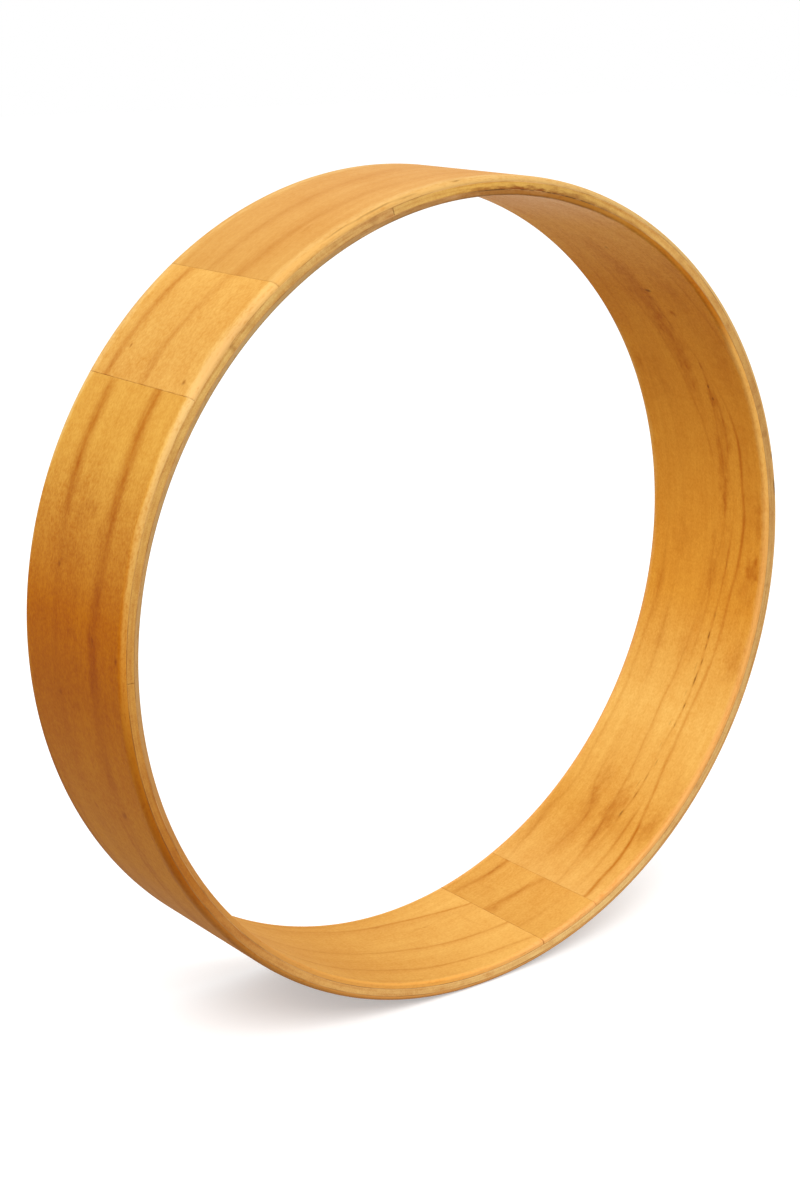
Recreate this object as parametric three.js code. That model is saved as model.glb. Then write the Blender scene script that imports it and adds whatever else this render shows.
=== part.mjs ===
// Bare wooden drum shell: a round hoop laminated from three plies of veneer.
// Each face ply is one long bent strip, closed by a short filler between two butt joints.
// The core is a ring of cross-grain panels, butted end to end.
//
// Millimetres, +Z up. The origin is the centre of the hoop, which stands on its rim with its
// axis along Y and its front edge facing -Y. Angles round the hoop are in degrees, as seen
// from the front: 0 is +X and 90 is straight up.
import * as THREE from "three";
import { toCreasedNormals } from "three/addons/utils/BufferGeometryUtils.js";

// Driving dimensions of the hoop
const SHELL_DIAMETER = 355.6; // over the outer face, 14 in
const SHELL_WIDTH = 75; // along the axis, from edge to edge
const OUTER_PLY = 2.3; // thickness of the outer face veneer
const CORE_PLY = 3; // thickness of the cross-grain core
const INNER_PLY = 2.2; // thickness of the inner face veneer
const GLUE_LINE = 0.3; // between one ply and the next
const BUTT_GAP = 0.3; // between the ends of two pieces of one ply

// The sanded corners of the two edges: how far each rounding reaches along the shell
const FRONT_OUTER_ROUNDING = 3;
const FRONT_INNER_ROUNDING = 1.4;
const BACK_OUTER_ROUNDING = 1.1;
const BACK_INNER_ROUNDING = 1.1;
const ROUNDING_DEPTH_SHARE = 0.7; // of that reach, into the ply's thickness
const MOST_ROUNDING_SHARE = 0.95; // of the ply's thickness

// The short pieces, measured along the outside of each
const OUTER_FILLER_LENGTH = 56;
const INNER_FILLER_LENGTH = 34;

// The panels of the core
const CORE_PANELS = 5; // of one length, but for the last, which is cut to what is left
const LAST_CORE_PANEL_SHARE = 0.865; // of another panel's length

// Where the joints lie round the hoop, in degrees
const OUTER_FILLER_MIDDLE = 135.2;
const INNER_FILLER_MIDDLE = -72.2;
const FIRST_CORE_JOINT = 106.5;

// Fineness of the solids
const FACETS = 120; // in the whole hoop, a multiple of four
const LEAST_FACET_SHARE = 0.25; // of a whole facet, at the end of a piece
const CORNER_STEPS = 2; // pairs of chords in a rounded corner
const CREASE_DEGREES = 15; // a sharper edge than this is drawn sharp

const shellRadius = SHELL_DIAMETER / 2;
const front = -SHELL_WIDTH / 2;
const back = SHELL_WIDTH / 2;
const straightDown = -90;
const fullCircle = THREE.MathUtils.radToDeg(2 * Math.PI);

// The inner and outer radius of each ply, from the outer face inwards
const outerPly = { outer: shellRadius, inner: shellRadius - OUTER_PLY };
const corePly = {
  outer: outerPly.inner - GLUE_LINE,
  inner: outerPly.inner - GLUE_LINE - CORE_PLY,
};
const innerPly = {
  outer: corePly.inner - GLUE_LINE,
  inner: corePly.inner - GLUE_LINE - INNER_PLY,
};

// The angle that a length takes up round the hoop at a radius.
function arcAngle(length, radius) {
  return THREE.MathUtils.radToDeg(length / radius);
}

// The cross-section of a ply, across the hoop (x is the radius) and along its axis (y),
// anticlockwise, with a rounding for each corner that the sanding has taken off.
function plySection(ply, roundings) {
  const deepest = MOST_ROUNDING_SHARE * (ply.outer - ply.inner);
  const corners = [
    { x: ply.outer, y: front, towardsX: -1, towardsY: 1, rounding: roundings.frontOuter },
    { x: ply.outer, y: back, towardsX: -1, towardsY: -1, rounding: roundings.backOuter },
    { x: ply.inner, y: back, towardsX: 1, towardsY: -1, rounding: roundings.backInner },
    { x: ply.inner, y: front, towardsX: 1, towardsY: 1, rounding: roundings.frontInner },
  ];
  const outline = new THREE.Path();
  const quarterTurn = Math.PI / 2;
  corners.forEach((corner, index) => {
    if (corner.rounding) {
      const depth = Math.min(ROUNDING_DEPTH_SHARE * corner.rounding, deepest);
      const x = corner.x + corner.towardsX * depth;
      const y = corner.y + corner.towardsY * corner.rounding;
      const start = (index - 1) * quarterTurn;
      const end = start + quarterTurn;
      outline.absellipse(x, y, depth, corner.rounding, start, end, false);
    } else if (index) {
      outline.lineTo(corner.x, corner.y);
    } else {
      outline.moveTo(corner.x, corner.y);
    }
  });
  return outline.getPoints(CORNER_STEPS);
}

// The angles of the facet edges from one end of a piece to the other. The facets of all the
// plies lie in step, and one is centred straight down, so that the hoop stands on a flat.
function facetAngles(start, end) {
  const facet = fullCircle / FACETS;
  const leastFacet = LEAST_FACET_SHARE * facet;
  const angles = [start];
  let edge = straightDown + facet / 2;
  while (edge > start) edge -= facet;
  for (; edge < end - leastFacet; edge += facet) {
    if (edge > start + leastFacet) angles.push(edge);
  }
  angles.push(end);
  return angles;
}

// A piece of a ply: its section swept round the hoop from one angle to another, with flat ends.
// The section is stretched outwards a little, so that the flats of the facets, not their edges,
// touch the true circle.
function bentPiece(section, start, end) {
  const stretch = 1 / Math.cos(Math.PI / FACETS);
  const angles = facetAngles(start, end).map(THREE.MathUtils.degToRad);
  const positions = angles.flatMap((angle) =>
    section.flatMap((point) => [
      point.x * stretch * Math.cos(angle),
      point.y,
      point.x * stretch * Math.sin(angle),
    ]),
  );
  const ring = section.length;
  const triangles = [];
  for (let step = 1; step < angles.length; step++) {
    for (let side = 0; side < ring; side++) {
      const nextSide = (side + 1) % ring;
      const a = (step - 1) * ring + side;
      const b = (step - 1) * ring + nextSide;
      const c = step * ring + side;
      const d = step * ring + nextSide;
      triangles.push(a, b, c, c, b, d);
    }
  }
  const lastRing = (angles.length - 1) * ring;
  for (const [a, b, c] of THREE.ShapeUtils.triangulateShape(section, [])) {
    triangles.push(a, c, b, lastRing + a, lastRing + b, lastRing + c);
  }
  const geometry = new THREE.BufferGeometry();
  geometry.setAttribute("position", new THREE.Float32BufferAttribute(positions, 3));
  geometry.setIndex(triangles);
  return toCreasedNormals(geometry, THREE.MathUtils.degToRad(CREASE_DEGREES));
}

function woodPiece(name, section, start, end, material) {
  const piece = new THREE.Mesh(bentPiece(section, start, end), material);
  piece.name = name;
  return piece;
}

function lacquered(color, roughness) {
  return new THREE.MeshStandardMaterial({ color, roughness, metalness: 0 });
}

// One ply that is a long strip closed by a filler.
function facePly(name, ply, roundings, fillerLength, fillerMiddle, stripMaterial, fillerMaterial) {
  const section = plySection(ply, roundings);
  const halfFiller = arcAngle(fillerLength, ply.outer) / 2;
  const gap = arcAngle(BUTT_GAP, ply.outer);
  const fillerStart = fillerMiddle - halfFiller;
  const fillerEnd = fillerMiddle + halfFiller;
  const stripStart = fillerEnd + gap;
  const stripEnd = fillerStart + fullCircle - gap;
  return [
    woodPiece(name + "_strip", section, stripStart, stripEnd, stripMaterial),
    woodPiece(name + "_filler", section, fillerStart, fillerEnd, fillerMaterial),
  ];
}

// The core: panels of one length butted round the hoop, the last one cut to fit.
function corePanels(material) {
  const section = plySection(corePly, {});
  const panelAngle = fullCircle / (CORE_PANELS - 1 + LAST_CORE_PANEL_SHARE);
  const halfGap = arcAngle(BUTT_GAP, corePly.outer) / 2;
  const panels = [];
  for (let index = 0; index < CORE_PANELS; index++) {
    const last = index === CORE_PANELS - 1;
    const start = FIRST_CORE_JOINT + index * panelAngle;
    const end = last ? FIRST_CORE_JOINT + fullCircle : start + panelAngle;
    const name = "core_panel_" + (index + 1);
    panels.push(woodPiece(name, section, start + halfGap, end - halfGap, material));
  }
  return panels;
}

const drumShell = new THREE.Group();
drumShell.name = "drum_shell";
drumShell.add(
  ...facePly(
    "outer",
    outerPly,
    { frontOuter: FRONT_OUTER_ROUNDING, backOuter: BACK_OUTER_ROUNDING },
    OUTER_FILLER_LENGTH,
    OUTER_FILLER_MIDDLE,
    lacquered(0xe0a04a, 0.35),
    lacquered(0xe6aa58, 0.35),
  ),
  ...corePanels(lacquered(0xd9b076, 0.6)),
  ...facePly(
    "inner",
    innerPly,
    { frontInner: FRONT_INNER_ROUNDING, backInner: BACK_INNER_ROUNDING },
    INNER_FILLER_LENGTH,
    INNER_FILLER_MIDDLE,
    lacquered(0xdf9a42, 0.35),
    lacquered(0xd6923e, 0.35),
  ),
);

export default drumShell;
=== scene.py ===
# Bare wooden drum shell: the looks of a round hoop laminated from three plies of veneer.
# Metres, +Z up. The hoop stands on its rim with its axis along Y and its front edge facing -Y.
# Angles round it are in degrees as seen from the front: 0 is +X and 90 is straight up.
import bpy
import math
from mathutils import Matrix, Vector


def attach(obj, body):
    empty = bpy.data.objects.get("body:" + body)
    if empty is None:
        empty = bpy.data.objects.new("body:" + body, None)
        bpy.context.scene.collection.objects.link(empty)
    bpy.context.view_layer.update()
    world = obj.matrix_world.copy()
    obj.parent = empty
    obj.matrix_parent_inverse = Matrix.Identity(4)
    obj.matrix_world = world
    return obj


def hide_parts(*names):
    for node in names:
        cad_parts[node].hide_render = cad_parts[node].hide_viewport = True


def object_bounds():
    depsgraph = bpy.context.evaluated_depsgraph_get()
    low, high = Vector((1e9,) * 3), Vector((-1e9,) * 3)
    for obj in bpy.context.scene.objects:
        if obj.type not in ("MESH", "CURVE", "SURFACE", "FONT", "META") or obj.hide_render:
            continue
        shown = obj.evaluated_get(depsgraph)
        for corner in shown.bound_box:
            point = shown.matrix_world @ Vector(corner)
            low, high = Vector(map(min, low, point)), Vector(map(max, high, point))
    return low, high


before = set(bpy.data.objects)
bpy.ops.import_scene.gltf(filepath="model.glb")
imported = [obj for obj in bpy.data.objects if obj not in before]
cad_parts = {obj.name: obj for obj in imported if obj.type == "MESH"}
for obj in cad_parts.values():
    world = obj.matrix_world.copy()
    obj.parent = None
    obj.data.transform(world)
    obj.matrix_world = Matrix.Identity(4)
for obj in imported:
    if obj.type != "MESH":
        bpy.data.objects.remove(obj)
cad_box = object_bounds()

# The camera
# It stands to the left of the front opening and a little above, as the photographer's did, and is
# turned slightly off the hoop's centre, as the picture is framed.
MM = 0.001
CAMERA_DISTANCE = 935.5 * MM
CAMERA_AZIMUTH = -38.33
CAMERA_ELEVATION = 15.55
AIM_AZIMUTH = CAMERA_AZIMUTH + 0.884
AIM_ELEVATION = CAMERA_ELEVATION + 0.379
CAMERA_LENS = 64.54
CAMERA_SENSOR = 36
NEAREST_SEEN = 50 * MM
FURTHEST_SEEN = 30


def direction(azimuth, elevation):
    """The unit vector towards a place at that azimuth, from 0 on -Y to 90 on +X, and elevation."""
    azimuth, elevation = math.radians(azimuth), math.radians(elevation)
    flat = math.cos(elevation)
    return Vector((math.sin(azimuth) * flat, -math.cos(azimuth) * flat, math.sin(elevation)))


def turned_from(back):
    """The turn of a camera or lamp that looks away from that vector, with its top upwards."""
    across = Vector((0, 0, 1)).cross(back).normalized()
    return Matrix((across, back.cross(across), back)).transposed().to_4x4()


camera_data = bpy.data.cameras.new("camera")
camera_data.lens = CAMERA_LENS
camera_data.sensor_width = CAMERA_SENSOR
camera_data.clip_start = NEAREST_SEEN
camera_data.clip_end = FURTHEST_SEEN
camera = bpy.data.objects.new("camera", camera_data)
camera_place = direction(CAMERA_AZIMUTH, CAMERA_ELEVATION) * CAMERA_DISTANCE
camera_turn = turned_from(direction(AIM_AZIMUTH, AIM_ELEVATION))
camera.matrix_world = Matrix.Translation(camera_place) @ camera_turn
bpy.context.scene.collection.objects.link(camera)
bpy.context.scene.camera = camera

# The core
# Five panels of plain birch veneer whose grain runs along the hoop's axis, so that they bend
# easily. They are butted end to end, and only their sanded end grain shows, in the two edges.
FULL_CIRCLE = 360
SHELL_RADIUS = cad_box[1].x
SHELL_FRONT = cad_box[0].y
SHELL_BACK = cad_box[1].y
OUTER_PLY = 2.3 * MM
CORE_PLY = 3 * MM
GLUE_LINE = 0.3 * MM
CORE_OUTSIDE = SHELL_RADIUS - OUTER_PLY - GLUE_LINE
CORE_INSIDE = CORE_OUTSIDE - CORE_PLY
CORE_PANELS = 5
CORE_PANEL_ANGLE = 74
FIRST_CORE_JOINT = 106.5
CORE_JOINTS = (0.1, 0.06, 0.02, 0.02, 0.02)  # degrees between two panels, at each joint
CORE_SANDING = 0.15 * MM
FACETS_IN_HOOP = 1440
ROUNDING_FACETS = 8
ROUNDING_DEPTH = 0.7  # into the ply, of a rounding's reach across the hoop
SHARP_EDGE = 40  # degrees between two faces

CORE_TONES = (
    (106.5, "#C19758"), (130, "#CCA75F"), (180, "#BF8C3C"), (210, "#A36312"), (240, "#D2A057"),
    (280, "#E8C27B"), (380, "#B68B4A"), (415, "#CEA257"), (438, "#C49A4B"), (452, "#D3A64C"),
    (466.5, "#C79E57"),
)
# A pattern of the end grain has its size round the hoop, across it and in depth, its detail, the
# span of the noise that shades, and how much. Real pores are 0.1 mm wide, too fine to show, so they
# are drawn coarser.
CORE_PORES = (0.45 * MM, CORE_PLY, 0.45 * MM)
CORE_GRAIN = (
    ((9 * MM, 9 * MM, CORE_PLY), 3, (0.45, 0.75), 0.3),  # blotches
    (CORE_PORES, 2, (0.35, 0.7), 0.25),
    ((1.6 * MM, CORE_PLY, 1.6 * MM), 2, (0.42, 0.68), 0.13),  # specks
    ((36 * MM, CORE_PLY, 0.9 * MM), 2, (0.42, 0.7), 0.35),  # rings
)
CORE_SHADE = "#CC9F68"
CORE_RELIEF = 0.08 * MM
CORE_ROUGHNESS = 0.6
DULL_IOR = 1.3
GRAIN_BUMP = 0.4
# The degrees between which the core's inner side gets chipped, with painted shade in the chips, and whole
# again
CHIPPED_STRETCH = (418, 440, 449, 459)
CHIP_DEPTH = 2.1 * MM
CHIP_SIZE = (5 * MM, 3 * MM, 1.3 * MM)
CHIP_RAGGEDNESS = 4 * MM
# The colour of the brown spots, and of the painted shade in the chips
SPOT_AND_PAINTED_CHIP_SHADE = "#AC8034"
# A spot in the front edge has its place in degrees, its half length in millimetres and its strength
CORE_SPOTS = (
    (109.8, 3, 0.3), (116.4, 2.4, 0.16), (123.6, 6, 0.18), (132.6, 5, 0.2), (136, 2.4, 0.5),
    (151, 9, 0.12), (196, 9, 0.15), (352.8, 2, 0.3), (377.4, 3, 0.35), (382, 2, 0.3), (397, 3, 0.15),
    (411.6, 3, 0.15),
)
SPOT_HALF_WIDTH = 3  # in millimetres
SPOT_RAGGEDNESS = 1.2
MARK_RAGGED_SIZE = (5 * MM, 3.4 * MM, CORE_PLY)

# The kinds of node that are used most
MATH = "ShaderNodeMath"
VECTOR_MATH = "ShaderNodeVectorMath"
MAP_RANGE = "ShaderNodeMapRange"
MIX = "ShaderNodeMix"
COMBINE = "ShaderNodeCombineXYZ"
SEPARATE = "ShaderNodeSeparateXYZ"
STORE = "GeometryNodeStoreNamedAttribute"
SWITCH = "GeometryNodeSwitch"


def add_node(tree, kind, inputs=(), operation=None, **settings):
    """Adds a node with its operation and settings. Its inputs, given in order or by name, each take
    a value, or a socket or node to link from."""
    node = tree.nodes.new(kind)
    if operation:
        node.operation = operation
    for name, value in settings.items():
        setattr(node, name, value)
    for name, value in inputs.items() if isinstance(inputs, dict) else enumerate(inputs):
        if isinstance(name, int):
            socket = node.inputs[name]
        else:
            socket = next(socket for socket in node.inputs if socket.name == name and socket.enabled)
        if isinstance(value, bpy.types.Node):
            value = next(output for output in value.outputs if output.enabled)
        if isinstance(value, bpy.types.NodeSocket):
            tree.links.new(value, socket)
        else:
            socket.default_value = value
    return node


def new_group(name, kind, inputs, outputs):
    """A new node group with named inputs and outputs of given types, and its inputs' sockets."""
    tree = bpy.data.node_groups.new(name, kind)
    for in_out, sockets in (("INPUT", inputs), ("OUTPUT", outputs)):
        for socket, given_type in sockets.items():
            tree.interface.new_socket(socket, in_out=in_out, socket_type="NodeSocket" + given_type)
    return tree, add_node(tree, "NodeGroupInput").outputs


def linear(colour):
    """A colour written as sRGB hex, turned to linear light."""
    channels = []
    for start in (1, 3, 5):
        value = int(colour[start : start + 2], 16) / 255
        channels.append(value / 12.92 if value <= 0.04045 else ((value + 0.055) / 1.055) ** 2.4)
    return (*channels, 1)


def bent_veneer_tree():
    """The tree of a bent piece: a rounded section swept along an arc, with flat ends. It leaves the
    mesh a vector "veneer": how far a point lies round the hoop, across it and from its axis."""
    lengths = ("Outside", "Inside", "Front", "Back", "Start", "End", "Hoop radius", "Rounding depth")
    roundings = ("Front outside", "Back outside", "Front inside", "Back inside")
    counts = ("Path points", "Rounding facets")
    inputs = dict.fromkeys(lengths + roundings, "Float") | dict.fromkeys(counts, "Int")
    inputs["Wood"] = "Material"
    tree, given = new_group("bent veneer", "GeometryNodeTree", inputs, {"Piece": "Geometry"})
    thickness, width, sweep, twice_radius, twice_across = (
        add_node(tree, MATH, [given[first], given[second]], operation)
        for first, second, operation in (
            ("Outside", "Inside", "SUBTRACT"),
            ("Back", "Front", "SUBTRACT"),
            ("End", "Start", "SUBTRACT"),
            ("Outside", "Inside", "ADD"),
            ("Front", "Back", "ADD"),
        )
    )

    # The section, centred on its own middle, with a rounding for each of its four corners. It is
    # drawn thicker than it is, so that the roundings reach further across the hoop than into it
    drawn = add_node(tree, MATH, [thickness, given["Rounding depth"]], "DIVIDE")
    sides = {"Width": drawn, "Height": width}
    rectangle = add_node(tree, "GeometryNodeCurvePrimitiveQuadrilateral", sides, mode="RECTANGLE")
    corner = add_node(tree, SEPARATE, [add_node(tree, "GeometryNodeInputPosition")])
    outside, behind = (
        add_node(tree, "FunctionNodeCompare", [corner.outputs[axis]], "GREATER_THAN")
        for axis in ("X", "Y")
    )
    pairs = (
        {"Switch": outside, "False": given[end + " inside"], "True": given[end + " outside"]}
        for end in ("Front", "Back")
    )
    front, back = (add_node(tree, SWITCH, pair, input_type="FLOAT") for pair in pairs)
    ends = {"Switch": behind, "False": front, "True": back}
    radius = add_node(tree, SWITCH, ends, input_type="FLOAT")
    count = given["Rounding facets"]
    corners = {"Curve": rectangle, "Count": count, "Radius": radius, "Limit Radius": True}
    rounded = add_node(tree, "GeometryNodeFilletCurve", corners, mode="POLY")
    position = add_node(tree, "GeometryNodeInputPosition")
    kept = {"Geometry": rounded, "Name": "section", "Value": position}
    section = add_node(tree, STORE, kept, data_type="FLOAT_VECTOR")

    # The path round the hoop, and the sweep
    arc = add_node(
        tree,
        "GeometryNodeCurveArc",
        {
            "Resolution": given["Path points"],
            "Radius": given["Outside"],
            "Start Angle": given["Start"],
            "Sweep Angle": sweep,
        },
        mode="RADIUS",
    )
    passed = add_node(tree, "GeometryNodeSplineParameter").outputs["Factor"]
    angle = add_node(tree, MATH, [passed, sweep, given["Start"]], "MULTIPLY_ADD")
    path = add_node(tree, STORE, {"Geometry": arc, "Name": "angle", "Value": angle}, data_type="FLOAT")
    swept = add_node(
        tree, "GeometryNodeCurveToMesh", {"Curve": path, "Profile Curve": section, "Fill Caps": True}
    )

    # Each point goes to its own angle and radius, which makes the hoop true
    turn, place = (
        add_node(tree, "GeometryNodeInputNamedAttribute", {"Name": name}, data_type=data_type)
        for name, data_type in (("angle", "FLOAT"), ("section", "FLOAT_VECTOR"))
    )
    twice_middle = add_node(tree, COMBINE, {"X": twice_radius, "Y": twice_across})
    true_size = add_node(tree, COMBINE, {"X": given["Rounding depth"], "Y": 1.0})
    place = add_node(tree, VECTOR_MATH, [place, true_size], "MULTIPLY")
    place = add_node(tree, VECTOR_MATH, [twice_middle, (0.5, 0.5, 0.5), place], "MULTIPLY_ADD")
    place = add_node(tree, SEPARATE, [place])
    radius, across = place.outputs["X"], place.outputs["Y"]
    level, height = (
        add_node(tree, MATH, [radius, add_node(tree, MATH, [turn], part)], "MULTIPLY")
        for part in ("COSINE", "SINE")
    )
    bent = add_node(tree, COMBINE, {"X": level, "Y": across, "Z": height})
    along = add_node(tree, MATH, [turn, given["Hoop radius"]], "MULTIPLY")
    veneer = add_node(tree, COMBINE, {"X": along, "Y": across, "Z": radius})
    marked = add_node(
        tree, STORE, {"Geometry": swept, "Name": "veneer", "Value": veneer}, data_type="FLOAT_VECTOR"
    )
    placed = add_node(tree, "GeometryNodeSetPosition", {"Geometry": marked, "Position": bent})
    for name in ("angle", "section"):
        placed = add_node(tree, "GeometryNodeRemoveAttribute", {"Geometry": placed, "Name": name})

    # Smooth, but for the sharp edges
    edge = add_node(tree, "GeometryNodeInputMeshEdgeAngle").outputs["Unsigned Angle"]
    sharp = add_node(tree, "FunctionNodeCompare", [edge, math.radians(SHARP_EDGE)], "GREATER_THAN")
    smooth = add_node(tree, "GeometryNodeSetShadeSmooth", {"Geometry": placed}, domain="FACE")
    creases = {"Geometry": smooth, "Selection": sharp, "Shade Smooth": False}
    creased = add_node(tree, "GeometryNodeSetShadeSmooth", creases, domain="EDGE")
    real = add_node(tree, "GeometryNodeRealizeInstances", {"Geometry": creased})
    wooden = add_node(tree, "GeometryNodeSetMaterial", {"Geometry": real, "Material": given["Wood"]})
    add_node(tree, "NodeGroupOutput", {"Piece": wooden})
    return tree


bent_veneer = bent_veneer_tree()


def bend_piece(name, wood, radii, angles, corners=(0, 0, 0, 0), edges=(SHELL_FRONT, SHELL_BACK)):
    """A finished piece of a ply between two radii, angles and edges. Its corners are rounded that
    far across the hoop: front outside, back outside, front inside and back inside."""
    values = {
        "Outside": max(radii),
        "Inside": min(radii),
        "Front": edges[0],
        "Back": edges[1],
        "Start": math.radians(angles[0]),
        "End": math.radians(angles[1]),
        "Hoop radius": SHELL_RADIUS,
        "Rounding depth": ROUNDING_DEPTH,
        "Front outside": corners[0],
        "Back outside": corners[1],
        "Front inside": corners[2],
        "Back inside": corners[3],
        "Path points": 1 + math.ceil(FACETS_IN_HOOP * (angles[1] - angles[0]) / FULL_CIRCLE),
        "Rounding facets": ROUNDING_FACETS,
        "Wood": wood,
    }
    piece = bpy.data.objects.new(name, bpy.data.meshes.new(name))
    bpy.context.scene.collection.objects.link(piece)
    modifier = piece.modifiers.new("bent veneer", "NODES")
    modifier.node_group = bent_veneer
    for socket in bent_veneer.interface.items_tree:
        if socket.in_out == "INPUT":
            value = values[socket.name]
            is_length = socket.socket_type == "NodeSocketFloat"
            modifier[socket.identifier] = float(value) if is_length else value
    normals = piece.modifiers.new("flat faces stay flat", "WEIGHTED_NORMAL")
    normals.keep_sharp = True
    depsgraph = bpy.context.evaluated_depsgraph_get()
    mesh = bpy.data.meshes.new_from_object(
        piece.evaluated_get(depsgraph), preserve_all_data_layers=True, depsgraph=depsgraph
    )
    piece.modifiers.clear()
    piece.data = mesh
    mesh.name = name
    return piece


def bare_material(name):
    """A new material, with its empty node tree and the vector "veneer" that a bent piece has."""
    material = bpy.data.materials.new(name)
    material.use_nodes = True
    tree = material.node_tree
    tree.nodes.clear()
    veneer = add_node(tree, "ShaderNodeAttribute", attribute_name="veneer").outputs["Vector"]
    return material, tree, veneer


def scaled_noise(tree, veneer, size, detail):
    """A noise whose features have that size in metres: round the hoop, across it and in depth."""
    scale = [1 / length for length in size]
    place = add_node(tree, VECTOR_MATH, [veneer, scale], "MULTIPLY")
    return add_node(tree, "ShaderNodeTexNoise", {"Vector": place, "Scale": 1.0, "Detail": detail})


def spread_noise(tree, veneer, size, detail, span, values):
    """The same noise, with a span of what it gives spread out to run from one value to another."""
    noise = scaled_noise(tree, veneer, size, detail)
    names = ("Value", "From Min", "From Max", "To Min", "To Max")
    return add_node(tree, MAP_RANGE, dict(zip(names, (noise, *span, *values))))


def share_passed(tree, along, angles):
    """How much of the way from one angle round the hoop to another a point lies."""
    start, end = (math.radians(angle) * SHELL_RADIUS for angle in angles)
    return add_node(tree, MAP_RANGE, {"Value": along, "From Min": start, "From Max": end})


def stretch_mask(tree, along, angles):
    """A mask that rises between the first two angles and falls between the last two."""
    rise = share_passed(tree, along, angles[:2])
    fall = share_passed(tree, along, angles[2:])
    return add_node(tree, MATH, [rise, fall], "SUBTRACT")


def share_between(value, ends):
    """Where a number lies between two others: 0 at the first or before it, 1 at the second."""
    return min(max((value - ends[0]) / (ends[1] - ends[0]), 0), 1)


def tone_ramp(tree, passed, tones, angles):
    """A colour ramp from one angle to another, through tones that are each given at an angle."""
    ramp = add_node(tree, "ShaderNodeValToRGB", {"Fac": passed})
    stops = ramp.color_ramp.elements
    stops.remove(stops[1])
    for index, (angle, colour) in enumerate(tones):
        place = share_between(angle, angles)
        stop = stops.new(place) if index else stops[0]
        stop.position = place
        stop.color = linear(colour)
    return ramp


def shaded(tree, colour, layers):
    """A colour under layers of shade, each of which multiplies it by another as far as it covers."""
    for cover, shade in layers:
        inputs = {"Factor": cover, "A": colour, "B": linear(shade)}
        colour = add_node(tree, MIX, inputs, data_type="RGBA", blend_type="MULTIPLY")
    return colour


def faded(tree, distance, reach, most):
    """A mask that is strongest where a distance is 0 and fades out softly at its reach."""
    inputs = {"Value": distance, "From Min": 0.0, "From Max": reach, "To Min": most, "To Max": 0.0}
    return add_node(tree, MAP_RANGE, inputs, interpolation_type="SMOOTHSTEP")


def all_marks(tree, veneer, marks, raggedness):
    """The strongest mask of all the knots, smears and dashes of a piece: soft, ragged ellipses. Each
    has its place in degrees round the hoop and millimetres across it, its half length and half
    width in millimetres, and its strength."""
    rough = scaled_noise(tree, veneer, MARK_RAGGED_SIZE, 2).outputs["Color"]
    rough = add_node(tree, VECTOR_MATH, [rough, (0.5, 0.5, 0.5)], "SUBTRACT")
    total = 0.0
    # Each mark uses the noise before its place, so that the shader stays small enough for Cycles
    for angle, middle, half_length, half_width, strength in marks:
        centre = (math.radians(angle) * SHELL_RADIUS, middle * MM, 0)
        size = (half_length * MM, half_width * MM, 0)
        ragged = [raggedness * length for length in size]
        offset = add_node(tree, VECTOR_MATH, [rough, ragged, veneer], "MULTIPLY_ADD")
        offset = add_node(tree, VECTOR_MATH, [offset, centre], "SUBTRACT")
        scale = (1 / size[0], 1 / size[1], 0)
        offset = add_node(tree, VECTOR_MATH, [offset, scale], "MULTIPLY")
        away = add_node(tree, VECTOR_MATH, [offset], "LENGTH")
        mask = faded(tree, away, 1.0, strength)
        total = add_node(tree, MATH, [mask, total], "MAXIMUM")
    return total


def end_with_shader(tree, inputs):
    """Ends a material's tree with a Principled BSDF that has those inputs."""
    shader = add_node(tree, "ShaderNodeBsdfPrincipled", inputs)
    add_node(tree, "ShaderNodeOutputMaterial", {"Surface": shader})


def end_grain():
    """Birch veneer cut across its fibres and sanded, under thin lacquer that sinks in: dull and
    finely speckled with pores, with faint rings, brown blotches and spots, and painted shade in the
    chips at the top."""
    material, tree, veneer = bare_material("end grain of birch")
    place = add_node(tree, SEPARATE, [veneer]).outputs
    angles = (FIRST_CORE_JOINT, FIRST_CORE_JOINT + FULL_CIRCLE)
    tone = tone_ramp(tree, share_passed(tree, place["X"], angles), CORE_TONES, angles)
    grain = 0.0
    for size, detail, span, most in CORE_GRAIN:
        pattern = spread_noise(tree, veneer, size, detail, span, (0.0, most))
        grain = add_node(tree, MATH, [pattern, grain], "ADD")
    spots = [
        (angle, SHELL_FRONT / MM, half_length, SPOT_HALF_WIDTH, strength)
        for angle, half_length, strength in CORE_SPOTS
    ]
    spots = all_marks(tree, veneer, spots, SPOT_RAGGEDNESS)
    chips = scaled_noise(tree, veneer, CHIP_SIZE, 3)
    ragged = add_node(tree, MATH, [chips, CHIP_RAGGEDNESS, place["Z"]], "MULTIPLY_ADD")
    inner_side = CORE_INSIDE + CHIP_RAGGEDNESS / 2
    inputs = {"Value": ragged, "From Min": inner_side + CHIP_DEPTH, "From Max": inner_side}
    near = add_node(tree, MAP_RANGE, inputs, interpolation_type="SMOOTHSTEP")
    # Painted shade in the chips along the core's inner side, within the chipped stretch
    painted_chip_shade = stretch_mask(tree, place["X"], CHIPPED_STRETCH)
    painted_chip_shade = add_node(tree, MATH, [painted_chip_shade, near], "MULTIPLY")
    layers = ((grain, CORE_SHADE), (spots, SPOT_AND_PAINTED_CHIP_SHADE), (painted_chip_shade, SPOT_AND_PAINTED_CHIP_SHADE))
    colour = shaded(tree, tone, layers)
    pores = scaled_noise(tree, veneer, CORE_PORES, 2)
    relief = {"Height": pores, "Distance": CORE_RELIEF, "Strength": GRAIN_BUMP}
    bump = add_node(tree, "ShaderNodeBump", relief)
    looks = {"Base Color": colour, "Roughness": CORE_ROUGHNESS, "IOR": DULL_IOR, "Normal": bump}
    end_with_shader(tree, looks)
    return material


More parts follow.
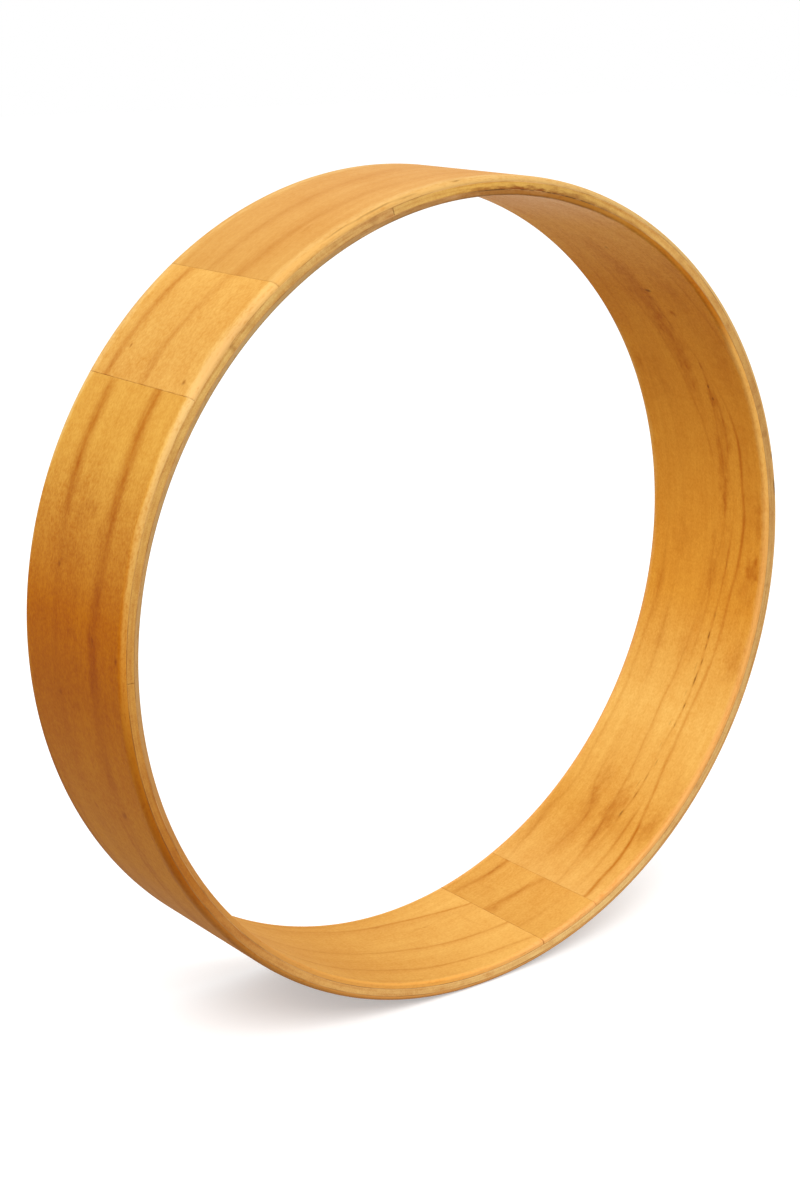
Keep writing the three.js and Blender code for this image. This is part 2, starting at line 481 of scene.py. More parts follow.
core_wood = end_grain()
for index in range(CORE_PANELS):
    joint = FIRST_CORE_JOINT + index * CORE_PANEL_ANGLE
    next_joint = joint + CORE_PANEL_ANGLE
    next_gap = CORE_JOINTS[(index + 1) % CORE_PANELS]
    if index == CORE_PANELS - 1:
        next_joint = FIRST_CORE_JOINT + FULL_CIRCLE
    panel = bend_piece(
        f"core_veneer_{index + 1}",
        core_wood,
        (CORE_OUTSIDE, CORE_INSIDE),
        (joint + CORE_JOINTS[index] / 2, next_joint - next_gap / 2),
        (CORE_SANDING,) * 4,
    )
    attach(panel, "root")
    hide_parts(f"core_panel_{index + 1}")

# The glue
# Two films of cured hide glue between the plies, sanded flush with the edges. They take the tone of
# the wood beside them. The inner one is open at the top, where the core has chipped, and is darkened
# there with dark glue and painted shade.
GLUE_RECESS = 0.05 * MM
OUTER_GLUE_TONES = (
    (0, "#BC8B50"), (44, "#BC8B50"), (62, "#D2A262"), (140, "#CE9E5C"), (160, "#BC8B4C"),
    (182, "#A46C28"), (204, "#7E4A10"), (232, "#BC8B4C"), (360, "#BC8B50"),
)
INNER_GLUE_TONES = ((0, "#BC8B50"),)
GLUE_SHADE = "#CEBE9E"
DARK_GLUE_AND_SHADE = "#5C3A0C"
GLUE_ROUGHNESS = 0.5
GLUE_PATCH = (12 * MM, 12 * MM, CORE_PLY)
THICK_SPAN = (0.4, 0.65)  # of the noise, over which the glue gets thick
OPEN_SPAN = (0.62, 0.5)  # of the noise, over which the joint opens
LEAST_OPEN = 0.1
DARK_STRETCH = (62, 74, 91, 95)  # the degrees at which the inner film gets dark, with dark glue and painted shade, and light again


def cured_glue(name, tones, dark_stretch=None):
    """Cured hide glue, dulled by the sanding: amber where it is thin, browner in patches where it is
    thick, and in the given stretch of the hoop dark, with dark glue and painted shade as in an open
    joint."""
    material, tree, veneer = bare_material(name)
    along = add_node(tree, SEPARATE, [veneer]).outputs["X"]
    angles = (0, FULL_CIRCLE)
    tone = tone_ramp(tree, share_passed(tree, along, angles), tones, angles)
    thick = spread_noise(tree, veneer, GLUE_PATCH, 3, THICK_SPAN, (0.0, 1.0))
    colour = shaded(tree, tone, ((thick, GLUE_SHADE),))
    # In the dark stretch: dark glue, and painted shade of the open joint
    if dark_stretch:
        dark_glue_and_shade = stretch_mask(tree, along, dark_stretch)
        open_joint = spread_noise(tree, veneer, CHIP_SIZE, 3, OPEN_SPAN, (LEAST_OPEN, 1.0))
        dark_glue_and_shade = add_node(tree, MATH, [dark_glue_and_shade, open_joint], "MULTIPLY")
        colour = add_node(
            tree, MIX, {"Factor": dark_glue_and_shade, "A": colour, "B": linear(DARK_GLUE_AND_SHADE)}, data_type="RGBA"
        )
    end_with_shader(tree, {"Base Color": colour, "Roughness": GLUE_ROUGHNESS, "IOR": DULL_IOR})
    return material


glue_edges = (SHELL_FRONT + GLUE_RECESS, SHELL_BACK - GLUE_RECESS)
thin_glue = cured_glue("cured hide glue, thin", OUTER_GLUE_TONES)
thick_glue = cured_glue("cured hide glue, thick at the top", INNER_GLUE_TONES, DARK_STRETCH)
for name, outside, glue in (
    ("outer_glue", SHELL_RADIUS - OUTER_PLY, thin_glue),
    ("inner_glue", CORE_INSIDE, thick_glue),
):
    film = bend_piece(name, glue, (outside, outside - GLUE_LINE), (0, FULL_CIRCLE), edges=glue_edges)
    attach(film, "root")

# The inner face
# One long birch veneer, its grain round the hoop, stained amber and lacquered. It was bent inside
# the core, and its two ends stop at the short piece that closes the ply.
INNER_PLY = 2.2 * MM
INNER_OUTSIDE = CORE_INSIDE - GLUE_LINE
INNER_INSIDE = INNER_OUTSIDE - INNER_PLY
INNER_CORNERS = (0, 0, 1.4 * MM, 1.1 * MM)
INNER_STRIP = (-66.63, 282.13)
# A growth line has its path in degrees round the hoop and millimetres across it, its strength along
# the way, and three widths in millimetres: of its core, and of its shade to front and back. The
# other looks of a piece go by the angle too: its tones, on the face and on the sanded edges, the
# strength of its figure, the painted highlight on its sanded corner, and how many millimetres the
# sanding reaches. Some tone stops also hold painted light and shade, as said where they are given.
# Marks and pits are as in all_marks. A joint at either end has the strength of its glue on the face
# and on the edge. The piece is cut from its own place in the board.
INNER_LINES = (
    {
        "path": (
            (-66, 26), (-63, 28), (-59, 29), (-54, 31.6), (-50, 28.6), (-46, 29), (-42, 31), (-36, 31),
            (-30, 30.4), (-25, 31), (-18, 30), (-12, 28), (-4, 27), (120, 30), (282, 35),
        ),
        "strength": (
            (-66, 0.2), (-63, 0.4), (-54, 0.4), (-51, 0.3), (-42, 0.4), (-30, 0.35), (-18, 0.35),
            (-10, 0.45), (-2, 0.15), (60, 0.3), (282, 0.3),
        ),
        "widths": (1.5, 4, 2.4),
    },
    {
        "path": (
            (-66, 6), (-60, 9), (-55, 7), (-50, 11), (-47, 16.6), (-42, 18.6), (-30, 19), (-20, 19),
            (0, 17), (60, 25), (282, 24),
        ),
        "strength": (
            (-66, 0), (-60, 0.2), (-50, 0.45), (-44, 0.4), (-34, 0.15), (-22, 0.3), (-8, 0.15), (50, 0.2),
            (80, 0), (282, 0),
        ),
        "widths": (1.2, 7, 5),
    },
    {
        "path": (
            (-66, -10.6), (-60, -7), (-56, -5), (-53, -3.6), (-50, -1.6), (-45, 0.2), (-41, 1.6),
            (-36, 3.2), (-31, 4), (-26, 2.6), (-22, 2), (-19, 0.6), (-16, 0), (-12, -3), (-4, -8),
            (2, -11), (14, -11.4), (20, -11), (25, -12), (29, -11.6), (33, -7), (38, -3), (46, 1),
            (60, 5), (110, 8), (180, 4), (252, 0), (262, -2), (268, -5), (274, -8.4), (282, -12.6),
        ),
        "strength": (
            (-66, 0.25), (-60, 0.45), (-57, 0.75), (-53, 0.65), (-50, 0.35), (-45, 0.45), (-36, 0.6),
            (-31, 0.7), (-20, 0.5), (-16, 0.35), (-13, 0.05), (-4, 0.3), (6, 0.35), (14, 0.5), (25, 0.6),
            (28, 0.4), (36, 0.4), (46, 0.3), (90, 0.4), (200, 0.4), (252, 0.3), (262, 0.6), (282, 0.7),
        ),
        "widths": (1.1, 4.5, 2.2),
    },
    {
        "path": (
            (-66, -29.8), (-62, -28.4), (-58, -28), (-55, -26.8), (-52, -24.6), (-49, -22.4), (-46, -20),
            (-42, -17.4), (-37, -15.6), (-32, -15), (-26, -16), (-20, -17.6), (-12, -18.6), (-8, -20),
            (-4, -21.8), (0, -23), (4, -23.6), (8, -23), (14, -23.6), (18, -22.6), (21, -21), (24, -18.4),
            (28, -15), (34, -11), (60, -14), (282, -14),
        ),
        "strength": (
            (-66, 0.8), (-63, 1.2), (-52, 1.3), (-50, 0.7), (-44, 0.7), (-36, 0.6), (-28, 0.55),
            (-12, 0.6), (-6, 0.75), (-1, 1.1), (4, 0.9), (7, 0.7), (10, 0.9), (16, 1), (20, 0.5),
            (28, 0.3), (36, 0), (282, 0),
        ),
        "widths": (1.5, 2.8, 2),
    },
    {
        "path": ((-66, -22.6), (-58, -20), (-53, -18.6), (-48, -17.4), (-40, -17), (282, -17)),
        "strength": ((-66, 0.2), (-58, 0.35), (-53, 0.8), (-49, 0.7), (-47, 0), (282, 0)),
        "widths": (1.1, 2.5, 2.5),
    },
    {
        "path": (
            (-66, -12), (-52, -10.4), (-46, -10.6), (-40, -9.6), (-34, -9.8), (-30, -10.8), (-22, -11.4),
            (-16, -11.6), (-10, -13), (-4, -14.4), (0, -16), (5, -17), (10, -14.6), (16, -16.4),
            (20, -15.6), (26, -15), (282, -15),
        ),
        "strength": (
            (-66, 0.1), (-54, 0.15), (-48, 0.6), (-42, 0.4), (-34, 0.45), (-27, 0.4), (-22, 0.5),
            (-12, 0.6), (-4, 0.6), (2, 0.25), (12, 0.3), (20, 0.45), (25, 0.3), (28, 0), (282, 0),
        ),
        "widths": (1, 2, 1.6),
    },
    {
        "path": (
            (-66, -4), (-24, -3.6), (-16, -5), (-10, -5.6), (-6, -4.4), (-2, -5), (6, -10), (282, -10),
        ),
        "strength": ((-66, 0), (-25, 0), (-21, 0.4), (-12, 0.45), (-2, 0.4), (4, 0), (282, 0)),
        "widths": (1.1, 2.6, 3.4),
    },
    {
        "path": (
            (-66, 0), (0, -8), (13, -4.6), (16, -3.2), (19, -2), (21, 0), (24, 2), (28, 4), (32, 5.4),
            (38, 9.6), (45, 13.6), (52, 16.6), (58, 18.4), (80, 22), (140, 18), (200, 24), (248, 28),
            (254, 28), (262, 26.6), (268, 25), (272, 23), (276, 20), (282, 14),
        ),
        "strength": (
            (-66, 0), (8, 0), (13, 0.45), (17, 0.55), (24, 0.4), (34, 0.45), (46, 0.4), (54, 0.25),
            (200, 0.4), (252, 0.4), (262, 0.7), (278, 0.8), (282, 0.7),
        ),
        "widths": (1.2, 11, 2.2),
    },
    {
        "path": (
            (-66, -34), (26, -36), (33, -34.4), (37, -32), (41, -30), (46, -28), (52, -26), (70, -22),
            (120, -26), (200, -24), (248, -21), (256, -21.2), (262, -23.4), (268, -25), (274, -27),
            (282, -31.6),
        ),
        "strength": (
            (-66, 0), (30, 0), (34, 0.6), (44, 0.5), (60, 0.3), (200, 0.5), (252, 0.45), (262, 0.65),
            (282, 0.6),
        ),
        "widths": (1.1, 4, 2),
    },
)
INNER_WOOD = {
    # Some stops hold painted light and shade: the bright stop at -31 is painted light where the face
    # turns up towards the softbox, the deep orange near 44 is partly the wood's own tone and partly
    # painted shade where it turns away, and the pale stop at 80 is a painted reflection of the white
    # surroundings
    "tones": (
        (-66.6, "#DDAC5D"), (-52, "#D69F47"), (-31, "#EBBC65"), (-12, "#DD9D38"), (44, "#D18C2B"),
        (62, "#E7AB52"), (80, "#FCD1A1"), (180, "#D39F50"), (250, "#CE9A47"), (282, "#E1B15E"),
    ),
    "edge tones": (
        (-66.6, "#E0A25A"), (-6, "#D79A50"), (12, "#DAA554"), (33, "#CF984A"), (38.5, "#AC6A1C"),
        (44, "#A66111"), (66, "#9F671F"), (84, "#945F26"), (130, "#A68658"), (180, "#AC8452"),
        (205, "#AC763C"), (262, "#DC9C48"), (282, "#E2A65E"),
    ),
    "figure": ((-66, 1.5), (4, 1.8), (26, 1.9), (40, 2.6), (66, 3), (120, 2.2), (250, 1.5), (282, 1.4)),
    "corner painted highlight": ((-66, 0), (282, 0)),
    "sanding": ((-66, 3.4), (-20, 3.6), (20, 3.6), (34, 3.5), (38, 2), (46, 1.8), (262, 2), (282, 3)),
    "lines": INNER_LINES,
    "line strength": 1.0,
    "marks": (
        (-51, -4.8, 24, 9, 0.9), (-48, -7.6, 7, 3.4, 0.72), (-50.6, -31, 16, 7.4, 0.8),
        (-44, -31, 15.7, 7.2, 0.3), (-52, 7.6, 15.7, 3.6, 0.37), (-49, 11.4, 19, 6, 0.7),
        (-45, 14.6, 16.8, 4.8, 0.41), (-59, 9, 22.4, 8.4, 0.37), (-57.6, -13, 17.9, 6, 0.22),
        (-53, -15, 15.7, 7.2, 0.3), (-57, 31.4, 26.9, 6, 0.3), (-20, 18.6, 20.2, 4.8, 0.44),
        (-20.6, -31, 13.4, 8.4, 0.67), (-20.4, 3, 13.4, 4.8, 0.3), (-12, 28.6, 24.6, 4.8, 0.42),
        (-15.4, 5, 1, 2.6, 0.35), (-8, -5, 24, 6.4, 0.55), (-12, -2, 15.7, 4.8, 0.37),
        (-5.4, -31, 11, 7, 1.3), (3.4, -33, 22.4, 4.8, 0.81), (-9, -28, 15.7, 8.4, 0.52),
        (-5, 27.6, 1.8, 1, 0.4), (-5, 2, 1.6, 1, 0.5), (-1.6, -4.6, 5, 2.6, 0.6),
        (-3, 16, 15.7, 12, 0.33), (-4, -12, 24.6, 6, 0.44), (4, -27, 29.1, 7.2, 0.37),
        (10, -11, 32, 4.6, 0.95), (17, -15.4, 22, 5.4, 0.85), (14, -28, 33.6, 7.2, 0.3),
        (22.8, -12.6, 10, 3.4, 0.95), (28.8, -11.8, 3.4, 1.4, 0.9), (25, 20, 24.6, 14.4, 0.48),
        (27, 32, 11.2, 5.3, 0.67), (22, 31, 22.4, 6, 0.3), (30, -1.4, 28, 7.2, 1),
        (25, -4, 15.7, 3.6, 0.37), (37, 1.4, 30, 8, 1), (45, 4.4, 28, 7.6, 0.9), (53, 7, 24, 7.2, 0.5),
        (30, -27, 29.1, 9.6, 0.44), (44, -18, 29.1, 10.8, 0.44), (36, -20, 22.4, 7.2, 0.3),
        (51, -33, 17.9, 4.8, 0.52), (39.2, -9.6, 3.4, 2.6, 1.2), (62, -14, 4, 1.4, 0.4),
        (271, 12.4, 9, 1.1, 0.48), (265.4, 25, 4, 1.4, 0.5), (278.6, 4, 1.4, 8, 0.3),
    ),
    "pits": (
        (-50.2, -9.8, 3.4, 0.9, 0.7), (-46.4, -10.6, 3, 0.6, 0.5), (-43, -10.2, 3, 0.6, 0.4),
        (-33.2, -10.2, 2.8, 0.8, 0.5), (-29.8, -10.8, 3, 0.8, 0.75), (-25, -11.1, 4.6, 0.8, 0.85),
        (-22, -11.7, 3, 0.6, 0.6), (-19.4, -11.4, 2.4, 0.6, 0.6), (-17.4, -11.4, 3, 0.8, 0.9),
        (-14, -12.2, 3, 0.6, 0.4), (-5.4, -14.4, 3, 0.6, 0.4), (-44.4, -8, 3.6, 0.5, 0.3),
        (-40, -10.8, 4, 0.5, 0.4), (-37, -7.8, 3, 0.5, 0.3), (-33.2, -6.8, 2, 0.6, 0.35),
        (-27.6, -8.6, 3, 0.5, 0.3), (-23, -9, 3.6, 0.5, 0.3), (22.8, -12.8, 1.6, 1, 0.8),
        (25, -12, 1.6, 0.9, 1), (44, -2.8, 1.5, 3, 0.95), (55, -1, 1.6, 1.6, 0.4),
    ),
    "joints": ((0, 0), (0, 0.6)),
    "cut from": (0, 0, 0),
}

# A pattern of the face grain has its size round the hoop, across it and in depth, its detail, and
# how strongly it varies the shade. Single fibres are too fine to show, so bundles are drawn.
FIBRES = (11 * MM, 0.55 * MM, 0.4 * MM)
PLAIN_GRAIN = (
    ((60 * MM, 22 * MM, 18 * MM), 2, 0.4),  # clouds
    ((20 * MM, 12 * MM, 10 * MM), 2, 0.3),  # patches
    ((110 * MM, 6 * MM, 4 * MM), 2, 0.3),  # bands
    ((80 * MM, 2.4 * MM, 0.8 * MM), 2, 0.3),  # streaks
    (FIBRES, 2, 0.14),
)
FIGURED_GRAIN = (
    ((3.4 * MM, 12 * MM, 12 * MM), 2, 0.14),  # curl
    ((4.4 * MM, 3.4 * MM, 2 * MM), 3, 0.18),  # mottle
    ((1.3 * MM, 1 * MM, 0.6 * MM), 2, 0.48),  # flecks
)
EDGE_GRAIN = (
    ((26 * MM, 3 * MM, 0.7 * MM), 3, 1.1),  # streaks
    ((2.4 * MM, 1.4 * MM, 0.9 * MM), 2, 1.1),  # specks
)
MEAN_GRAIN = 0.35
MOST_FIGURE = 5
GRAIN_SHADE = "#DEBC7C"
LINE_SHADE = "#D4AA50"
MARK_SHADE = "#D8B67A"
JOINT_SHADE = "#B08450"
PIT_SHADE = "#9C8C6E"
CORNER_PAINTED_HIGHLIGHT = (0.32, 0.6, 1.1)  # painted highlight: times the colour, where the rounded corner faces the light
CORE_OF_LINE = 0.62
USUAL_SPAN = (0.3, 0.7)  # of a noise: most of what it gives
LINE_WANDER = 0.35 * MM
LINE_WANDER_SIZE = (24 * MM, 12 * MM, CORE_PLY)
LINE_BREAKS = (0.5, 0.85)  # of its strength, left in the breaks of a line and elsewhere
LINE_BREAK_SIZE = (9 * MM, 2.4 * MM, CORE_PLY)
MARK_RAGGEDNESS = 1.6
PIT_RAGGEDNESS = 0.8
MOST_SANDING = 8 * MM
SANDING_RAGGEDNESS = 0.25
SANDING_RAGGED_SIZE = (10 * MM, 2 * MM, 1.5 * MM)
JOINT_WIDTH = 0.45 * MM
JOINT_EDGE_WIDTH = 0.7 * MM
JOINT_BREAKS = (0.3, 1.0)  # of its strength, left in the breaks of a joint's glue and elsewhere
JOINT_BREAK_SPAN = (0.35, 0.6)
JOINT_BREAK_SIZE = (CORE_PLY, 5 * MM, CORE_PLY)
LACQUER_GLOSS = 0.12
LACQUER_ROUGHNESS = 0.35
GRAIN_RELIEF = 0.03 * MM
BEYOND_EDGE = 2 * MM  # how far past the edges a line may run


def varied(tree, veneer, mean, patterns):
    """A number that noise patterns vary about its mean, each as strongly as it says."""
    total = float(mean - sum(strength for _, _, strength in patterns) / 2)
    for size, detail, strength in patterns:
        inputs = [scaled_noise(tree, veneer, size, detail), strength, total]
        total = add_node(tree, MATH, inputs, "MULTIPLY_ADD")
    return total


def growth_line_group():
    """The mask of one growth line: a dark core, and a shade that fades out on either side of it."""
    numbers = ("Across", "Line", "Core", "Front shade", "Back shade", "Strength")
    tree, given = new_group(
        "growth line", "ShaderNodeTree", dict.fromkeys(numbers, "Float"), {"Mask": "Float"}
    )
    offset = add_node(tree, MATH, [given["Across"], given["Line"]], "SUBTRACT")
    distance = add_node(tree, MATH, [offset], "ABSOLUTE")
    behind = add_node(tree, MATH, [offset, 0.0], "GREATER_THAN")
    inputs = {"Factor": behind, "A": given["Front shade"], "B": given["Back shade"]}
    reach = add_node(tree, MIX, inputs, data_type="FLOAT")
    core = faded(tree, distance, given["Core"], CORE_OF_LINE)
    shade = faded(tree, distance, reach, 1 - CORE_OF_LINE)
    both = add_node(tree, MATH, [core, shade], "ADD")
    mask = add_node(tree, MATH, [both, given["Strength"]], "MULTIPLY")
    add_node(tree, "NodeGroupOutput", {"Mask": mask})
    return tree


def face_veneer_group():
    """Amber-stained rotary-cut birch under satin lacquer. The eye gets cloudy patches, a faint curl
    across the grain, soft streaks and fine fibres along it, the growth lines and marks, and a painted
    highlight on the rounded corner."""
    numbers = ("Figure", "Edge", "Corner painted highlight", "Lines", "Marks", "Joint", "Pits")
    inputs = {"Veneer": "Vector", "Tone": "Color", "Edge tone": "Color"} | dict.fromkeys(numbers, "Float")
    outputs = {"Colour": "Color", "Height": "Float"}
    tree, given = new_group("amber birch face veneer", "ShaderNodeTree", inputs, outputs)
    veneer = given["Veneer"]
    amount = varied(tree, veneer, MEAN_GRAIN, PLAIN_GRAIN)
    for mean, patterns, where in ((0, FIGURED_GRAIN, "Figure"), (-MEAN_GRAIN, EDGE_GRAIN, "Edge")):
        inputs = [varied(tree, veneer, mean, patterns), given[where], amount]
        amount = add_node(tree, MATH, inputs, "MULTIPLY_ADD")
    lines_and_marks = ((given["Lines"], LINE_SHADE), (given["Marks"], MARK_SHADE))
    marked = shaded(tree, given["Tone"], lines_and_marks)
    with_edge = add_node(
        tree, MIX, {"Factor": given["Edge"], "A": marked, "B": given["Edge tone"]}, data_type="RGBA"
    )
    grained = shaded(tree, with_edge, ((amount, GRAIN_SHADE),))
    # A painted highlight on the rounded corner: the colour is raised most halfway into the sanded band,
    # as strongly as the piece's curve says
    away = add_node(tree, MATH, [1.0, given["Edge"]], "SUBTRACT")
    turned = add_node(tree, MATH, [away, given["Edge"]], "MULTIPLY")
    light = add_node(tree, MATH, [turned, given["Corner painted highlight"]], "MULTIPLY")
    painted_corner_highlight = add_node(tree, VECTOR_MATH, [light, CORNER_PAINTED_HIGHLIGHT, (1, 1, 1)], "MULTIPLY_ADD")
    lit = add_node(tree, VECTOR_MATH, [grained, painted_corner_highlight], "MULTIPLY")
    colour = shaded(tree, lit, ((given["Joint"], JOINT_SHADE), (given["Pits"], PIT_SHADE)))
    fibres = scaled_noise(tree, veneer, FIBRES, 2)
    height = add_node(tree, MATH, [fibres, given["Lines"]], "SUBTRACT")
    add_node(tree, "NodeGroupOutput", {"Colour": colour, "Height": height})
    return tree


growth_line = growth_line_group()
face_veneer = face_veneer_group()


def draw_curve(tree, passed, points, angles, heights):
    """A Float Curve drawn through points that are given in degrees and in units of its own."""
    node = add_node(tree, "ShaderNodeFloatCurve", {"Value": passed})
    node.mapping.extend = "HORIZONTAL"
    low, high = heights
    curve = node.mapping.curves[0]
    for index, (angle, height) in enumerate(points):
        place = (share_between(angle, angles), (height - low) / (high - low))
        if index < 2:
            curve.points[index].location = place
        else:
            curve.points.new(*place)
    node.mapping.update()
    return node


def all_growth_lines(tree, passed, across, lines, angles):
    """The strongest mask of all the growth lines of a piece."""
    low, high = SHELL_FRONT - BEYOND_EDGE, SHELL_BACK + BEYOND_EDGE
    total = 0.0
    for line in lines:
        run = draw_curve(tree, passed, line["path"], angles, (low / MM, high / MM))
        core, front, back = (width * MM for width in line["widths"])
        mask = add_node(
            tree,
            "ShaderNodeGroup",
            {
                "Across": across,
                "Line": add_node(tree, MAP_RANGE, {"Value": run, "To Min": low, "To Max": high}),
                "Core": core,
                "Front shade": front,
                "Back shade": back,
                "Strength": draw_curve(tree, passed, line["strength"], angles, (0, 1)),
            },
            node_tree=growth_line,
        )
        total = add_node(tree, MATH, [mask, total], "MAXIMUM")
    return total


def sanded_edge(tree, own, passed, across, depths, angles):
    """A mask that is 1 at the front and back edges and 0 where the sanding fades out, raggedly."""
    reach = draw_curve(tree, passed, depths, angles, (0, MOST_SANDING / MM))
    values = ((1 - SANDING_RAGGEDNESS) * MOST_SANDING, (1 + SANDING_RAGGEDNESS) * MOST_SANDING)
    ragged = spread_noise(tree, own, SANDING_RAGGED_SIZE, 3, USUAL_SPAN, values)
    reach = add_node(tree, MATH, [reach, ragged], "MULTIPLY")
    inside = add_node(tree, MATH, [across], "ABSOLUTE")
    inside = add_node(tree, MATH, [SHELL_BACK, inside], "SUBTRACT")
    return faded(tree, inside, reach, 1.0)


def butt_joints(tree, own, along, edge, angles, joints):
    """The mask of the glue at the two ends of a piece, each with a strength of its own on the face
    and on the sanded edge, where it is wider."""
    breaks = spread_noise(tree, own, JOINT_BREAK_SIZE, 3, JOINT_BREAK_SPAN, JOINT_BREAKS)
    width = add_node(
        tree, MIX, {"Factor": edge, "A": JOINT_WIDTH, "B": JOINT_EDGE_WIDTH}, data_type="FLOAT"
    )
    total = 0.0
    for angle, (on_face, on_edge) in zip(angles, joints):
        place = math.radians(angle) * SHELL_RADIUS
        away = add_node(tree, MATH, [along, place], "SUBTRACT")
        away = add_node(tree, MATH, [away], "ABSOLUTE")
        strength = add_node(tree, MIX, {"Factor": edge, "A": on_face, "B": on_edge}, data_type="FLOAT")
        glued = faded(tree, away, width, strength)
        total = add_node(tree, MATH, [glued, total], "MAXIMUM")
    broken = add_node(tree, MATH, [total, breaks], "MULTIPLY")
    return add_node(tree, MIX, {"Factor": edge, "A": broken, "B": total}, data_type="FLOAT")


def amber_birch(name, angles, wood):
    """The lacquered wood of one piece of face veneer: the shared grain, and its own tones, lines,
    marks, sanding and joints. The lacquer gives a weak, broad gloss."""
    material, tree, veneer = bare_material(name)
    place = add_node(tree, SEPARATE, [veneer]).outputs
    passed = share_passed(tree, place["X"], angles)
    own = add_node(tree, VECTOR_MATH, [veneer, wood["cut from"]], "ADD")
    wander = spread_noise(tree, own, LINE_WANDER_SIZE, 2, USUAL_SPAN, (-LINE_WANDER, LINE_WANDER))
    across = add_node(tree, MATH, [place["Y"], wander], "ADD")
    breaks = spread_noise(tree, own, LINE_BREAK_SIZE, 2, USUAL_SPAN, LINE_BREAKS)
    lines = all_growth_lines(tree, passed, across, wood["lines"], angles)
    for share in (breaks, wood["line strength"]):
        lines = add_node(tree, MATH, [lines, share], "MULTIPLY")
    marks = all_marks(tree, veneer, wood["marks"], MARK_RAGGEDNESS)
    figure = draw_curve(tree, passed, wood["figure"], angles, (0, MOST_FIGURE))
    edge = sanded_edge(tree, own, passed, across, wood["sanding"], angles)
    face = add_node(
        tree,
        "ShaderNodeGroup",
        {
            "Veneer": own,
            "Tone": tone_ramp(tree, passed, wood["tones"], angles),
            "Edge tone": tone_ramp(tree, passed, wood["edge tones"], angles),
            "Figure": add_node(tree, MATH, [figure, MOST_FIGURE], "MULTIPLY"),
            "Edge": edge,
            "Corner painted highlight": draw_curve(tree, passed, wood["corner painted highlight"], angles, (0, 1)),
            "Lines": lines,
            "Marks": add_node(tree, MATH, [marks, breaks], "MULTIPLY"),
            "Joint": butt_joints(tree, own, place["X"], edge, angles, wood["joints"]),
            "Pits": all_marks(tree, veneer, wood["pits"], PIT_RAGGEDNESS),
        },
        node_tree=face_veneer,
    ).outputs
    relief = {"Height": face["Height"], "Distance": GRAIN_RELIEF, "Strength": GRAIN_BUMP}
    looks = {
        "Base Color": face["Colour"],
        "Normal": add_node(tree, "ShaderNodeBump", relief),
        "Specular IOR Level": 0.0,
        "Coat Weight": LACQUER_GLOSS,
        "Coat Roughness": LACQUER_ROUGHNESS,
    }
    end_with_shader(tree, looks)
    return material


inner_wood = amber_birch("amber birch of the inner face", INNER_STRIP, INNER_WOOD)
inner_face = bend_piece(
    "inner_face_veneer", inner_wood, (INNER_OUTSIDE, INNER_INSIDE), INNER_STRIP, INNER_CORNERS
)
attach(inner_face, "root")
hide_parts("inner_strip")

# The piece that closes the inner ply
# A short length of the same veneer, from a browner board, cut to fit between the two ends.
INNER_CLOSER = (-77.85, -66.65)
INNER_CLOSER_LINES = (
    {
        "path": ((-77.8, 28.4), (-75, 28), (-72, 26.4), (-69, 25), (-66.7, 24.8)),
        "strength": ((-77.8, 0.5), (-76, 0.7), (-72, 0.8), (-66.7, 0.75)),
        "widths": (2, 3.6, 4.6),
    },
    {
        "path": ((-77.8, 4), (-74, 3.4), (-71, 2), (-69, 0), (-66.7, -3)),
        "strength": ((-77.8, 0.8), (-70, 0.7), (-66.7, 0.6)),
        "widths": (3.4, 10, 2.4),
    },
    {
        "path": ((-77.8, -20), (-66.7, -21)),
        "strength": ((-77.8, 0.3), (-66.7, 0.25)),
        "widths": (1.4, 3.5, 3.5),
    },
)
INNER_CLOSER_WOOD = {
    "tones": ((-77.85, "#D4A04D"), (-66.65, "#DAA652")),
    "edge tones": ((-77.85, "#E2A65F"), (-66.65, "#E0A35D")),
    "figure": ((-77.8, 1.6), (-66.7, 1.6)),
    "corner painted highlight": ((-77.8, 0), (-66.7, 0)),
    "sanding": ((-77.8, 3), (-66.7, 3.2)),
    "lines": INNER_CLOSER_LINES,
    "line strength": 0.9,
    "marks": (
        (-76.6, 1, 3, 2, 0.5), (-71, 1.6, 10, 1, 0.4), (-73.4, 18, 2, 9, 0.25), (-71.8, 22, 1.6, 8, 0.25),
        (-75.4, 16, 1.6, 9, 0.15), (-70, 25.8, 9, 1.6, 0.5),
    ),
    "pits": ((-69, 25.6, 2, 0.6, 0.3),),
    "joints": ((0.5, 0.7), (0.3, 0.4)),
    "cut from": (1.3, 0.4, 0),
}
closer_wood = amber_birch("amber birch of the inner closing piece", INNER_CLOSER, INNER_CLOSER_WOOD)
closer = bend_piece(
    "inner_closing_veneer", closer_wood, (INNER_OUTSIDE, INNER_INSIDE), INNER_CLOSER, INNER_CORNERS
)
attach(closer, "root")
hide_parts("inner_filler")
